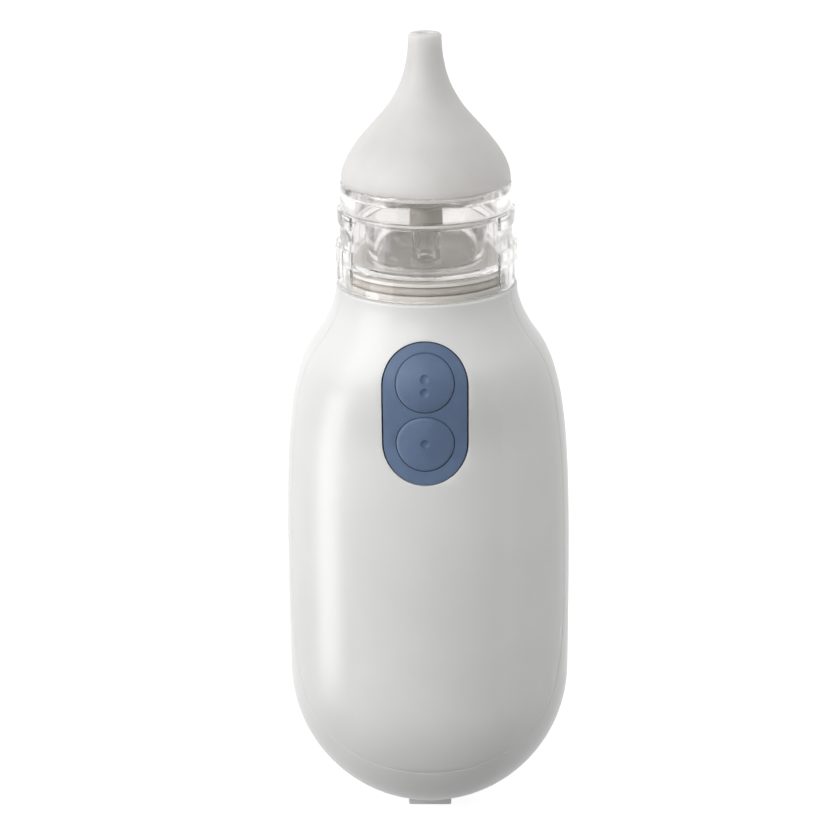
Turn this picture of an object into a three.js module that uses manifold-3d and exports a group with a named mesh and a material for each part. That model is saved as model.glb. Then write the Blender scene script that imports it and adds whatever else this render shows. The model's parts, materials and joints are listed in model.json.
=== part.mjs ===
// Battery nasal aspirator: millimetres, +Z up, front towards -Y, origin under the middle of the foot.
import * as THREE from 'three';
import { mergeVertices } from 'three/addons/utils/BufferGeometryUtils.js';
import Module from 'manifold-3d';

const wasm = await Module();
wasm.setup();

// ---- driving dimensions ----
const clearance = 0.3;                 // gap left between neighbouring pieces
const bodyHalfWidth = 29.2;            // widest half-width of the casing
const bodyDepthRatio = 0.8;            // front-to-back size over width, below the shoulders
const bulgeHeight = 32.3;              // height of the centre of the rounded bottom
const bottomDrop = 30.3;               // vertical half-axis of the rounded bottom
const shoulder = [22.1, 105.3];        // radius and height where the shoulder meets the neck fillet
const shoulderPull = [28.6, 96.9];     // control point that makes the shoulder full
const sidePull = 79.5;                 // height up to which the sides pull straight
const neckRadius = 17.9;
const neckTop = 116;
const filletLength = 3.2;
const roundFrom = 86;                  // from here up the section turns from oval to round
const roundTo = 110;
const wall = 2;                        // casing wall
const partingDepth = -7;               // y of the joint line between front and back shells
const partingFoot = 17;                // height where the joint line crosses the front

const keypadRadius = 8.05;
const keypadHalfStraight = 5.85;
const keypadHeight = 95.4;
const keypadSink = 0.25;               // keypad skin lies this far under the casing skin
const keypadBack = -18.2;
const buttonRadius = 5.6;
const buttonHeights = { high: 101.9, low: 89.8 };
const buttonTilt = { high: 12, low: 0 };           // degrees the dome leans up
const buttonApex = { high: -23.8, low: -24.0 };    // y of the dome's crown
const domeRadius = 18;
const flangeRadius = 6.0;
const dimpleRadius = 1.0;

const footWidth = 9.2;
const footFront = -3.6;
const footBack = 9;

const coverHalfWidth = 15.5;
const coverBottom = 13.5;
const coverTop = 69.5;
const cellRadius = 7.25;               // AA cell, 14.5 x 50.5
const cellBody = 49.5;
const cellNub = 1;
const cellX = 7.6;
const cellY = 1;
const bayFloor = 13.7;
const bayCeiling = 68.7;
const trayWall = 1.5;
const trayHalfWidth = 15.6;
const trayFront = -7.6;

const pumpY = 4;                       // motor and pump axis
const motorRadius = 12.2;
const motorBottom = 72.4;
const motorTop = 91;
const shaftRadius = 1;
const pumpRadius = 13;
const crankBottom = 91.5;

const boardFront = -11.9;
const screwPlaces = { upper: [19, 84], lower: [21.5, 54] };

const skirtBottom = 116.3;             // lower rim of the collector cup
const cupTop = 131.2;
const cupSkirtRadius = 17.45;
const cupTopRadius = 16.75;
const cupBore = 15.2;
const cupFloor = 119.4;
const stemRadius = 3;
const stemTop = 127.4;
const lidBottom = 131.5;
const lidTop = 136.1;
const nozzleBase = 136.4;
const nozzleTop = 164.8;
const nozzleRadius = 16.55;
const tipRadius = 3.2;

// ---- solids ----
const round = 32;                      // sides of the large round pieces

function toSolid(geometry) {
  const bare = geometry.clone();
  bare.deleteAttribute('normal');
  bare.deleteAttribute('uv');
  const merged = mergeVertices(bare, 1e-4);
  return new wasm.Manifold(new wasm.Mesh({
    numProp: 3,
    vertProperties: new Float32Array(merged.attributes.position.array),
    triVerts: new Uint32Array(merged.index.array),
  }));
}

function toGeometry(solid) {
  const mesh = solid.getMesh();
  const geometry = new THREE.BufferGeometry();
  geometry.setAttribute('position', new THREE.BufferAttribute(mesh.vertProperties, 3));
  geometry.setIndex(new THREE.BufferAttribute(mesh.triVerts, 1));
  geometry.computeVertexNormals();
  return geometry;
}

// Turns [radius, height] points about the Z axis.
function lathe(points, sides = round) {
  const profile = points.map(([r, z]) => new THREE.Vector2(r, z));
  const geometry = new THREE.LatheGeometry(profile, sides);
  geometry.rotateX(Math.PI / 2);
  return geometry;
}

// A ring or sleeve, closed on itself, between two radii and two heights.
function ring(inner, outer, low, high, sides = round) {
  return lathe([[inner, low], [outer, low], [outer, high], [inner, high], [inner, low]], sides);
}

function disc(radius, low, high, sides = round) {
  return lathe([[0, low], [radius, low], [radius, high], [0, high]], sides);
}

function torus(major, minor, height, sides = round) {
  const geometry = new THREE.TorusGeometry(major, minor, 6, sides);
  geometry.translate(0, 0, height);
  return geometry;
}

function box(low, high) {
  const size = high.map((value, i) => value - low[i]);
  const geometry = new THREE.BoxGeometry(...size);
  geometry.translate(...low.map((value, i) => value + size[i] / 2));
  return geometry;
}

// A round bar along Y.
function barY(radius, x, z, front, back, sides = 20) {
  const geometry = new THREE.CylinderGeometry(radius, radius, back - front, sides);
  geometry.translate(x, (front + back) / 2, z);
  return geometry;
}

// A flat outline in X and Z, extruded along Y from front to back.
function prismY(shape, front, back, segments = 10) {
  const options = { depth: back - front, bevelEnabled: false, curveSegments: segments };
  const geometry = new THREE.ExtrudeGeometry(shape, options);
  geometry.rotateX(Math.PI / 2);
  geometry.translate(0, back, 0);
  return geometry;
}

function stadium(radius, halfStraight, height) {
  const shape = new THREE.Shape();
  shape.absarc(0, height + halfStraight, radius, 0, Math.PI, false);
  shape.absarc(0, height - halfStraight, radius, Math.PI, 2 * Math.PI, false);
  shape.closePath();
  return shape;
}

function roundedRectangle(halfWidth, low, high, corner) {
  const shape = new THREE.Shape();
  shape.absarc(halfWidth - corner, low + corner, corner, -Math.PI / 2, 0, false);
  shape.absarc(halfWidth - corner, high - corner, corner, 0, Math.PI / 2, false);
  shape.absarc(-halfWidth + corner, high - corner, corner, Math.PI / 2, Math.PI, false);
  shape.absarc(-halfWidth + corner, low + corner, corner, Math.PI, 1.5 * Math.PI, false);
  shape.closePath();
  return shape;
}

function union(...geometries) {
  return geometries.map(toSolid).reduce((whole, next) => whole.add(next));
}

function cut(solid, ...geometries) {
  return geometries.map(toSolid).reduce((whole, next) => whole.subtract(next), solid);
}

// ---- the casing's outer shape ----
function smoothstep(low, high, value) {
  const t = Math.min(1, Math.max(0, (value - low) / (high - low)));
  return t * t * (3 - 2 * t);
}

function casingProfile() {
  const points = [];
  const arcSteps = 9;
  for (let i = 0; i <= arcSteps; i++) {
    const angle = (i / arcSteps) * Math.PI / 2;
    points.push([bodyHalfWidth * Math.sin(angle), bulgeHeight - bottomDrop * Math.cos(angle)]);
  }
  const side = new THREE.CubicBezierCurve(
    new THREE.Vector2(bodyHalfWidth, bulgeHeight),
    new THREE.Vector2(bodyHalfWidth, sidePull),
    new THREE.Vector2(...shoulderPull),
    new THREE.Vector2(...shoulder),
  );
  const slope = new THREE.Vector2(shoulder[0] - shoulderPull[0], shoulder[1] - shoulderPull[1]);
  slope.setLength(filletLength);
  const fillet = new THREE.CubicBezierCurve(
    new THREE.Vector2(...shoulder),
    new THREE.Vector2(shoulder[0] + slope.x, shoulder[1] + slope.y),
    new THREE.Vector2(neckRadius, neckTop - 0.5 - filletLength),
    new THREE.Vector2(neckRadius, neckTop - 0.5),
  );
  side.getPoints(7).slice(1).forEach((p) => points.push([p.x, p.y]));
  fillet.getPoints(4).slice(1).forEach((p) => points.push([p.x, p.y]));
  points.push([neckRadius, neckTop]);
  return points;
}

// The casing's solid shape, drawn in by an inset and run up to a flat top.
function casingBody(inset, top = neckTop) {
  const outline = casingProfile().map(([r, z]) => {
    const lift = z < bulgeHeight ? inset * (bulgeHeight - z) / bottomDrop : 0;
    return [r - inset * Math.min(1, r / 10), z + lift];
  });
  outline[outline.length - 1][1] = top;
  outline.push([0, top]);
  const geometry = lathe(outline);
  const position = geometry.attributes.position;
  for (let i = 0; i < position.count; i++) {
    const turn = smoothstep(roundFrom, roundTo, position.getZ(i));
    const ratio = bodyDepthRatio + (1 - bodyDepthRatio) * turn;
    position.setY(i, position.getY(i) * ratio);
  }
  return geometry;
}

// Everything in front of the joint line, which sweeps forward under the face.
function frontRegion(shift) {
  const line = new THREE.CubicBezierCurve(
    new THREE.Vector2(partingDepth, 50),
    new THREE.Vector2(partingDepth, 34),
    new THREE.Vector2(-14, 24),
    new THREE.Vector2(-20.3, partingFoot),
  ).getPoints(8);
  const shape = new THREE.Shape();
  shape.moveTo(partingDepth + shift, neckTop + 5);
  line.forEach((p) => shape.lineTo(p.x + shift, p.y));
  shape.lineTo(-34, 4);
  shape.lineTo(-34, neckTop + 5);
  shape.closePath();
  const geometry = new THREE.ExtrudeGeometry(shape, { depth: 80, bevelEnabled: false });
  geometry.translate(0, 0, -40);
  geometry.rotateX(Math.PI / 2);
  geometry.rotateZ(Math.PI / 2);
  return geometry;
}

const parts = new THREE.Group();

function add(name, geometry, colour, roughness = 0.5, metalness = 0) {
  const material = new THREE.MeshStandardMaterial({ color: colour, roughness, metalness });
  const mesh = new THREE.Mesh(geometry, material);
  mesh.name = name;
  parts.add(mesh);
  return mesh;
}

const white = 0xeeeeec;
const blue = 0x5f708e;
const clear = 0xdfe3e6;
const silicone = 0xe6e4df;
const blackRubber = 0x2b2b2d;
const steel = 0xb9bbbd;
const brass = 0xc9a75a;
const darkPlastic = 0x3c3f44;
const natural = 0xd9d6cc;

// ---- casing ----
function wallRing() {
  const outer = toSolid(casingBody(0));
  const inner = toSolid(casingBody(wall, neckTop + 1));
  return outer.subtract(inner);
}

function coverOutline(grow) {
  return roundedRectangle(coverHalfWidth + grow, coverBottom - grow, coverTop + grow, 4);
}

function screwBosses(radius, front, back) {
  const bosses = [];
  for (const [x, z] of Object.values(screwPlaces)) {
    for (const side of [-1, 1]) {
      bosses.push(barY(radius, side * x, z, front, back, 16));
    }
  }
  return bosses;
}

function buildShells() {
  const skin = wallRing();
  const outer = toSolid(casingBody(0));
  const front = toSolid(frontRegion(-clearance / 2));
  const behind = toSolid(frontRegion(clearance / 2));
  const opening = prismY(stadium(keypadRadius + clearance, keypadHalfStraight, keypadHeight), -30, -12);
  const bossFront = screwBosses(2.9, -24, partingDepth - clearance / 2);
  const bossBack = screwBosses(2.9, partingDepth + clearance / 2, 24);
  const frontBosses = union(...bossFront).intersect(outer);
  const backBosses = union(...bossBack).intersect(outer);
  const frontShell = cut(skin.intersect(front).add(frontBosses), opening, ...screwBosses(1.35, -12, 0));
  add('front_shell', toGeometry(frontShell), white, 0.2);
  const coverHole = prismY(coverOutline(clearance / 2), 0, 30, 4);
  const backShell = cut(
    skin.subtract(behind).add(backBosses),
    coverHole,
    ...screwBosses(1.35, -10, 10),
    ...screwBosses(2.75, 3.4, 30),
  );
  add('back_shell', toGeometry(backShell), white, 0.2);
  const tongues = [-1, 1].map((side) => union(
    box([side * 6 - 2, 11.2, 14.3], [side * 6 + 2, 18, 16]),
    box([side * 6 - 2, 11.2, 12], [side * 6 + 2, 12.4, 15]),
  ));
  const catchTab = toSolid(box([-4, 17.4, coverTop - 2.2], [4, 22.2, coverTop - 0.9]));
  const panel = skin.intersect(toSolid(prismY(coverOutline(-clearance / 2), 0, 30, 4)));
  const cover = tongues.reduce((whole, tongue) => whole.add(tongue), panel).add(catchTab);
  add('battery_cover', toGeometry(cover), white, 0.25);
}

function buildFoot() {
  const shape = new THREE.Shape();
  const half = footWidth / 2;
  const corner = 1;
  shape.absarc(half - corner, footBack - corner, corner, 0, Math.PI / 2, false);
  shape.absarc(-half + corner, footBack - corner, corner, Math.PI / 2, Math.PI, false);
  shape.absarc(-half + corner, footFront + corner, corner, Math.PI, 1.5 * Math.PI, false);
  shape.absarc(half - corner, footFront + corner, corner, 1.5 * Math.PI, 2 * Math.PI, false);
  shape.closePath();
  const block = new THREE.ExtrudeGeometry(shape, { depth: 8, bevelEnabled: false, curveSegments: 4 });
  const foot = toSolid(block).subtract(toSolid(casingBody(-clearance)));
  add('base_foot', toGeometry(foot), white, 0.4);
}

function buildScrews() {
  for (const [level, [x, z]] of Object.entries(screwPlaces)) {
    for (const [side, sign] of [['left', -1], ['right', 1]]) {
      const profile = [[0, 5.7], [2.3, 5.7], [2.3, 4.4], [1.1, 3.6], [1.1, -10.5], [0, -11.5]];
      const screw = lathe(profile.reverse(), 12);
      screw.rotateX(-Math.PI / 2);
      screw.translate(sign * x, 0, z);
      const recess = box([sign * x - 1.6, 4.9, z - 0.3], [sign * x + 1.6, 6, z + 0.3]);
      add(`screw_${level}_${side}`, toGeometry(cut(toSolid(screw), recess)), steel, 0.35, 0.9);
    }
  }
}

// ---- keypad and switches ----
function buildKeypad() {
  const plate = toSolid(prismY(stadium(keypadRadius, keypadHalfStraight, keypadHeight), -30, keypadBack));
  const skin = plate.intersect(toSolid(casingBody(keypadSink)));
  const holes = Object.values(buttonHeights).map((z) => barY(buttonRadius + 0.2, 0, z, -30, -10, 32));
  add('keypad', toGeometry(cut(skin, ...holes)), blue, 0.55);
}

function buildButton(level, dimples) {
  const z = buttonHeights[level];
  const tilt = buttonTilt[level] * Math.PI / 180;
  const apex = buttonApex[level];
  const dome = new THREE.SphereGeometry(domeRadius, 48, 40);
  dome.rotateX(Math.PI / 2);
  dome.translate(0, apex + domeRadius * Math.cos(tilt), z - domeRadius * Math.sin(tilt));
  const barrel = toSolid(barY(buttonRadius, 0, z, -30, -17.1, 32)).intersect(toSolid(dome));
  const flange = toSolid(barY(flangeRadius, 0, z, keypadBack + clearance, -17.1, 32));
  const stem = toSolid(barY(2, 0, z, -17.2, -16.5, 12));
  let button = barrel.add(flange).add(stem);
  for (const offset of dimples) {
    const dimple = new THREE.SphereGeometry(dimpleRadius, 12, 8);
    dimple.translate(0, apex - 0.35 + offset * Math.sin(tilt), z + offset);
    button = button.subtract(toSolid(dimple));
  }
  add(`${level}_button`, toGeometry(button), blue, 0.55);
  add(`${level}_plunger`, barY(1.7, 0, z, -16.3, -14, 12), darkPlastic, 0.5);
  const body = cut(toSolid(box([-3, -15.2, z - 3], [3, -12, z + 3])), barY(1.95, 0, z, -16, -13, 12));
  add(`${level}_switch`, toGeometry(body), darkPlastic, 0.5);
}

function buildBoard() {
  const board = box([-8.6, boardFront, 80.5], [8.6, boardFront + 1.6, 107]);
  add('switch_board', board, 0x2f6b45, 0.5);
}

// ---- cells and contacts ----
function buildBatteryBay() {
  const block = toSolid(box(
    [-trayHalfWidth, trayFront, bayFloor - trayWall],
    [trayHalfWidth, 0.5, bayCeiling + trayWall],
  ));
  const shelf = toSolid(box([-12, 0, bayCeiling], [12, 14, bayCeiling + trayWall]));
  const bays = [-1, 1].map((side) => {
    const bay = disc(cellRadius + 0.25, bayFloor, bayCeiling, 24);
    bay.translate(side * cellX, cellY, 0);
    return bay;
  });
  const channel = box([-cellX, -4, bayFloor], [cellX, 2, bayFloor + 4]);
  const slot = box([-cellX - 5.5, -4.6, bayCeiling - 2], [cellX + 5.5, 2, bayCeiling]);
  add('battery_tray', toGeometry(cut(block.add(shelf), ...bays, channel, slot)), natural, 0.6);
  for (const [side, sign, low] of [['left', -1, 14.5], ['right', 1, 17.5]]) {
    const nubFirst = sign < 0;
    const bodyLow = low + (nubFirst ? cellNub : 0);
    const bodyHigh = bodyLow + cellBody;
    const profile = nubFirst
      ? [[0, low], [2.7, low], [2.7, bodyLow], [cellRadius, bodyLow], [cellRadius, bodyHigh], [0, bodyHigh]]
      : [[0, low], [cellRadius, low], [cellRadius, bodyHigh], [2.7, bodyHigh],
        [2.7, bodyHigh + cellNub], [0, bodyHigh + cellNub]];
    const cell = lathe(profile, 24);
    cell.translate(sign * cellX, cellY, 0);
    add(`battery_${side}`, cell, 0x8a8d90, 0.35, 0.6);
  }
}

class ConeSpring extends THREE.Curve {
  constructor(bottom, height, wide, narrow, turns) {
    super();
    Object.assign(this, { bottom, height, wide, narrow, turns });
  }

  getPoint(t, target = new THREE.Vector3()) {
    const angle = t * this.turns * 2 * Math.PI;
    const radius = this.wide + (this.narrow - this.wide) * t;
    return target.set(radius * Math.cos(angle), radius * Math.sin(angle), this.bottom + this.height * t);
  }
}

function circleShape(radius, sides) {
  const points = [];
  for (let i = 0; i < sides; i++) {
    const angle = (i / sides) * 2 * Math.PI;
    points.push(new THREE.Vector2(radius * Math.cos(angle), radius * Math.sin(angle)));
  }
  return new THREE.Shape(points);
}

function tube(curve, radius, steps, sides = 6) {
  const options = { steps, extrudePath: curve, bevelEnabled: false };
  return new THREE.ExtrudeGeometry(circleShape(radius, sides), options);
}

function buildContacts() {
  const lowSpring = tube(new ConeSpring(14.75, 2.2, 4.6, 2.6, 3), 0.32, 42);
  lowSpring.translate(cellX, cellY, 0);
  add('spring_right', lowSpring, steel, 0.3, 0.9);
  const highSpring = tube(new ConeSpring(65.5, 2.2, 2.6, 4.6, 3), 0.32, 42);
  highSpring.translate(-cellX, cellY, 0);
  add('spring_left', highSpring, steel, 0.3, 0.9);
  add('bridge_plate', box([-12, -3.5, 13.9], [12, 1.8, 14.2]), steel, 0.3, 0.9);
  for (const [side, sign] of [['left', -1], ['right', 1]]) {
    const plate = box([sign * cellX - 4.8, -4.2, 68.15], [sign * cellX + 4.8, 1.8, 68.5]);
    add(`contact_plate_${side}`, plate, steel, 0.3, 0.9);
  }
}

function buildWires() {
  const routes = {
    battery_wire_left: [[-6.5, -8.5, 69], [-6.5, -9.6, 73], [-5, -9.8, 78], [-4, -9.6, 84]],
    battery_wire_right: [[6.5, -8.5, 69], [6.5, -9.6, 73], [5, -9.8, 78], [4, -9.6, 84]],
    motor_wire_left: [[-7.2, -9.6, 84], [-9.5, -9.6, 79], [-10.2, -8.2, 75.5], [-8.4, -5.6, 73.2]],
    motor_wire_right: [[7.2, -9.6, 84], [9.5, -9.6, 79], [10.2, -8.2, 75.5], [8.4, -5.6, 73.2]],
  };
  for (const [name, points] of Object.entries(routes)) {
    const curve = new THREE.CatmullRomCurve3(points.map((p) => new THREE.Vector3(...p)));
    const colour = name.endsWith('left') ? 0x1d1d1f : 0xa02020;
    add(name, tube(curve, 0.55, 9), colour, 0.5);
  }
}

// ---- motor and pump, both on one upright axis ----
function onPumpAxis(geometry) {
  geometry.translate(0, pumpY, 0);
  return geometry;
}

function arcMagnet(start, end) {
  const shape = new THREE.Shape();
  shape.absarc(0, 0, 11.3, start, end, false);
  shape.absarc(0, 0, 9.4, end, start, true);
  shape.closePath();
  const magnet = new THREE.ExtrudeGeometry(shape, { depth: 12, bevelEnabled: false, curveSegments: 8 });
  magnet.translate(0, 0, 76);
  return onPumpAxis(magnet);
}

function buildMotor() {
  const can = lathe([
    [11.6, motorBottom + 1.8], [motorRadius, motorBottom + 1.8], [motorRadius, motorTop],
    [1.6, motorTop], [1.6, motorTop - 1], [11.6, motorTop - 1], [11.6, motorBottom + 1.8],
  ], 32);
  add('motor_can', onPumpAxis(can), steel, 0.35, 0.9);
  const cap = lathe([
    [0, motorBottom], [motorRadius, motorBottom], [motorRadius, motorBottom + 1.5],
    [11.3, motorBottom + 1.5], [11.3, motorBottom + 2.6], [0, motorBottom + 2.6],
  ], 32);
  add('motor_end_cap', onPumpAxis(cap), darkPlastic, 0.5);
  add('magnet_left', arcMagnet(0.62 * Math.PI, 1.38 * Math.PI), darkPlastic, 0.6);
  add('magnet_right', arcMagnet(-0.38 * Math.PI, 0.38 * Math.PI), darkPlastic, 0.6);
  const core = toSolid(onPumpAxis(ring(shaftRadius + 0.15, 8.8, 77.5, 87, 24)));
  const slots = [0, 1, 2].map((i) => {
    const slot = box([5, -1.1, 77], [10, 1.1, 88]);
    slot.rotateZ(i * 2 * Math.PI / 3);
    return onPumpAxis(slot);
  });
  add('armature', toGeometry(cut(core, ...slots)), brass, 0.4, 0.6);
  add('motor_shaft', onPumpAxis(disc(shaftRadius, motorBottom + 2.9, 96.3, 12)), steel, 0.25, 1);
  const hub = toSolid(onPumpAxis(ring(shaftRadius + 0.15, 5, crankBottom, 94, 24)));
  const pin = barZ(0.8, 3, 0, 93.9, 96);
  add('crank', toGeometry(hub.add(toSolid(onPumpAxis(pin)))), natural, 0.5);
  const mount = ring(motorRadius + 0.2, 13, 75, 80, 28);
  add('motor_mount', onPumpAxis(mount), blackRubber, 0.8);
}

function barZ(radius, x, y, low, high, sides = 12) {
  const bar = disc(radius, low, high, sides);
  bar.translate(x, y, 0);
  return bar;
}

function buildPump() {
  const caseProfile = [
    [5.6, motorTop + 0.3], [pumpRadius, motorTop + 0.3], [pumpRadius, 99.6],
    [11.8, 99.6], [11.8, 92.5], [5.6, 92.5], [5.6, motorTop + 0.3],
  ];
  add('pump_case', onPumpAxis(lathe(caseProfile, 32)), darkPlastic, 0.45);
  const hub = toSolid(disc(2.2, 97, 98.6, 16));
  const arms = [0, 1, 2].map((i) => {
    const arm = box([0, -1.3, 97], [9.2, 1.3, 98.2]);
    arm.rotateZ(i * 2 * Math.PI / 3 + Math.PI / 6);
    return toSolid(arm);
  });
  const wobble = toGeometry(arms.reduce((whole, arm) => whole.add(arm), hub));
  add('wobble_plate', onPumpAxis(wobble), natural, 0.5);
  const sheet = toSolid(disc(pumpRadius, 99.9, 101.1, 32));
  const cups = [0, 1, 2].map((i) => {
    const angle = i * 2 * Math.PI / 3 + Math.PI / 6;
    const cup = lathe([[0, 98.5], [2.2, 98.5], [4, 100.4], [4, 101.2], [0, 101.2]], 16);
    cup.translate(6.4 * Math.cos(angle), 6.4 * Math.sin(angle), 0);
    return cup;
  });
  const hollows = [0, 1, 2].map((i) => {
    const angle = i * 2 * Math.PI / 3 + Math.PI / 6;
    const hollow = lathe([[0, 99.4], [1.6, 99.4], [3.2, 100.9], [3.2, 102], [0, 102]], 16);
    hollow.translate(6.4 * Math.cos(angle), 6.4 * Math.sin(angle), 0);
    return hollow;
  });
  const skin = cups.map(toSolid).reduce((whole, cup) => whole.add(cup), sheet);
  add('diaphragm', onPumpAxis(toGeometry(cut(skin, ...hollows))), blackRubber, 0.8);
  const ports = [0, 1, 2].map((i) => {
    const angle = i * 2 * Math.PI / 3 + Math.PI / 6;
    return barZ(0.8, 6.4 * Math.cos(angle), 6.4 * Math.sin(angle), 101, 104);
  });
  add('valve_plate', onPumpAxis(toGeometry(cut(toSolid(disc(pumpRadius, 101.4, 103.2, 32)), ...ports))),
    natural, 0.5);
  const lidShell = toSolid(onPumpAxis(disc(pumpRadius, 103.5, 106.8, 32)));
  const plenum = onPumpAxis(ring(2.5, 11.5, 103.4, 105.4, 24));
  const barb = barZ(1.5, 0, 0, 106, 110.2);
  const bore = barZ(0.8, 0, 0, 104.5, 111);
  add('pump_head', toGeometry(cut(lidShell.add(toSolid(barb)), plenum, bore)), darkPlastic, 0.45);
  add('suction_hose', ring(1.75, 2.7, 107.1, 113.3, 16), silicone, 0.5);
}

// ---- neck and collector ----
function buildNeck() {
  const plug = lathe([
    [0.9, 110.6], [1.5, 110.6], [1.5, 113.6], [4.2, 113.6], [4.2, 110.1], [16.4, 108.9],
    [16.4, 110.1], [15.6, 111.4], [15.6, 116], [15.1, 116], [15.1, 117.1], [13.6, 117.1],
    [13.6, 118.9], [15.1, 118.9], [15.1, 119.6], [11.7, 119.6], [11.7, 115.2], [4, 115.2],
    [4, 116.6], [0.9, 116.6], [0.9, 110.6],
  ]);
  add('neck_plug', plug, 0xd5d2cc, 0.45);
  add('neck_seal', torus(14.5, 0.75, 118), 0x8d8a86, 0.7);
  add('port_gasket', ring(1.5, 3.4, 116.8, 117.9, 20), silicone, 0.6);
}

function buildCup() {
  const web = 120.2;
  const webTop = 121.6;
  const profile = [
    [1.5, 118.1], [10.9, 118.1], [11.3, web], [15.5, web], [15.5, skirtBottom],
    [cupSkirtRadius, skirtBottom], [cupTopRadius, cupTop], [cupBore, cupTop], [cupBore, webTop],
    [12.5, webTop], [12.9, 129.2], [12, 129.2], [10, cupFloor], [stemRadius, cupFloor],
    [stemRadius, stemTop], [1.5, stemTop], [1.5, 118.1],
  ];
  let cup = toSolid(lathe(profile));
  for (const centre of [0, Math.PI]) {
    const shape = new THREE.Shape();
    const spread = 0.6;
    shape.absarc(0, 0, 17.95, centre - spread, centre + spread, false);
    shape.absarc(0, 0, 16.5, centre + spread, centre - spread, true);
    shape.closePath();
    const pad = new THREE.ExtrudeGeometry(shape, { depth: 7.2, bevelEnabled: false, curveSegments: 8 });
    pad.translate(0, 0, 117.2);
    cup = cup.add(toSolid(pad));
  }
  add('collector_cup', toGeometry(cup), clear, 0.1);
}

function buildLid() {
  const profile = [
    [0, 131.9], [13.2, 131.9], [13.2, 129.6], [14.9, 129.6], [14.9, 130], [14, 130], [14, 131.1],
    [14.9, 131.1], [14.9, lidBottom], [16.85, lidBottom], [16.65, lidTop], [14.7, lidTop],
    [14.7, 133.1], [0, 133.1],
  ];
  const inlets = [0, 1, 2, 3].map((i) => {
    const angle = (i + 0.5) * Math.PI / 2;
    return barZ(2.2, 8 * Math.cos(angle), 8 * Math.sin(angle), 131, 134, 16);
  });
  add('collector_lid', toGeometry(cut(toSolid(lathe(profile)), ...inlets)), clear, 0.1);
  add('lid_seal', torus(14.55, 0.45, 130.55), silicone, 0.6);
  add('splash_baffle', disc(3.3, 127.8, 131.6, 24), 0xb9b4ae, 0.5);
}

function buildNozzle() {
  const bellLow = new THREE.CubicBezierCurve(
    new THREE.Vector2(nozzleRadius, nozzleBase),
    new THREE.Vector2(nozzleRadius, 142.1),
    new THREE.Vector2(9.65, 147.7),
    new THREE.Vector2(7.4, 150.85),
  ).getPoints(7);
  const bellHigh = new THREE.CubicBezierCurve(
    new THREE.Vector2(7.4, 150.85),
    new THREE.Vector2(5, 154.2),
    new THREE.Vector2(tipRadius + 0.25, 157.6),
    new THREE.Vector2(tipRadius, 163.6),
  ).getPoints(5).slice(1);
  const outside = [...bellLow, ...bellHigh].map((p) => [p.x, p.y]);
  const tip = [[tipRadius - 0.3, 164.4], [tipRadius - 0.9, nozzleTop], [1.9, nozzleTop], [1.5, 164.3]];
  const inside = [[1.5, 157], [2.6, 153.8], [5.4, 149.8], [9.5, 145.2], [13, 141.2], [13.6, 138]];
  const foot = [[12.6, 133.4], [14.4, 133.4], [14.4, nozzleBase]];
  const nozzle = lathe([...outside, ...tip, ...inside, ...foot, outside[0]]);
  add('nozzle', nozzle, silicone, 0.45);
}

buildShells();
buildFoot();
buildScrews();
buildKeypad();
buildButton('high', [1.3, -1.3]);
buildButton('low', [0.1]);
buildBoard();
buildBatteryBay();
buildContacts();
buildWires();
buildMotor();
buildPump();
buildNeck();
buildCup();
buildLid();
buildNozzle();

export default parts;
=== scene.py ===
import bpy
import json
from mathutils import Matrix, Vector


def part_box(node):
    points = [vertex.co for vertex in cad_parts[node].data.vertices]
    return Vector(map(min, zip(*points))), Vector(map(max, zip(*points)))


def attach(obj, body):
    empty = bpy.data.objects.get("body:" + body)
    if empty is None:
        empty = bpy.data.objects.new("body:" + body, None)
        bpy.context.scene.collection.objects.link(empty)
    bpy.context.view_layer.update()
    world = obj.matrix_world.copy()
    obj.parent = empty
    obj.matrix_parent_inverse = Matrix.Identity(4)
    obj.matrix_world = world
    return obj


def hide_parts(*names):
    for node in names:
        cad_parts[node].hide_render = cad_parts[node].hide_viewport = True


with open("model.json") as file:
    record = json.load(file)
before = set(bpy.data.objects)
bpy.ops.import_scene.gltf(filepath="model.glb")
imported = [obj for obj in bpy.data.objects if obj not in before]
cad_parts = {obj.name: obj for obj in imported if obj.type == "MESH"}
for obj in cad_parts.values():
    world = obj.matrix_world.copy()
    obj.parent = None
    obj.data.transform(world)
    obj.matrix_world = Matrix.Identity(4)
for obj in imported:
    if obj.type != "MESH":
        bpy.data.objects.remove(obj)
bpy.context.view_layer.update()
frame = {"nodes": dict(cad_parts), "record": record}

import json
import math

import bpy
from mathutils import Matrix, Vector

mm = 0.001
mergeGap = 0.0005 * mm       # vertices nearer than this are one


# small helpers for driving Blender's own tools

def startFresh():
    if bpy.context.mode != "OBJECT":
        bpy.ops.object.mode_set(mode="OBJECT")
    bpy.ops.object.select_all(action="DESELECT")


def only(piece):
    startFresh()
    piece.select_set(True)
    bpy.context.view_layer.objects.active = piece


def applyModifier(piece, kind, **settings):
    only(piece)
    modifier = piece.modifiers.new(kind.title(), kind)
    for name, value in settings.items():
        setattr(modifier, name, value)
    bpy.ops.object.modifier_apply(modifier=modifier.name)


def softenEdges(piece, width, angle=35, segments=3):
    applyModifier(piece, "BEVEL", width=width * mm, segments=segments, limit_method="ANGLE",
                  angle_limit=math.radians(angle), use_clamp_overlap=True, harden_normals=False)


def smooth(piece, angle=32):
    only(piece)
    bpy.ops.object.shade_smooth_by_angle(angle=math.radians(angle))


def carve(piece, cutter, operation="DIFFERENCE"):
    applyModifier(piece, "BOOLEAN", object=cutter, operation=operation, solver="EXACT")
    bpy.data.objects.remove(cutter, do_unlink=True)


def copyOf(piece, name):
    twin = piece.copy()
    twin.data = piece.data.copy()
    twin.name = name
    bpy.context.scene.collection.objects.link(twin)
    return twin


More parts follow.
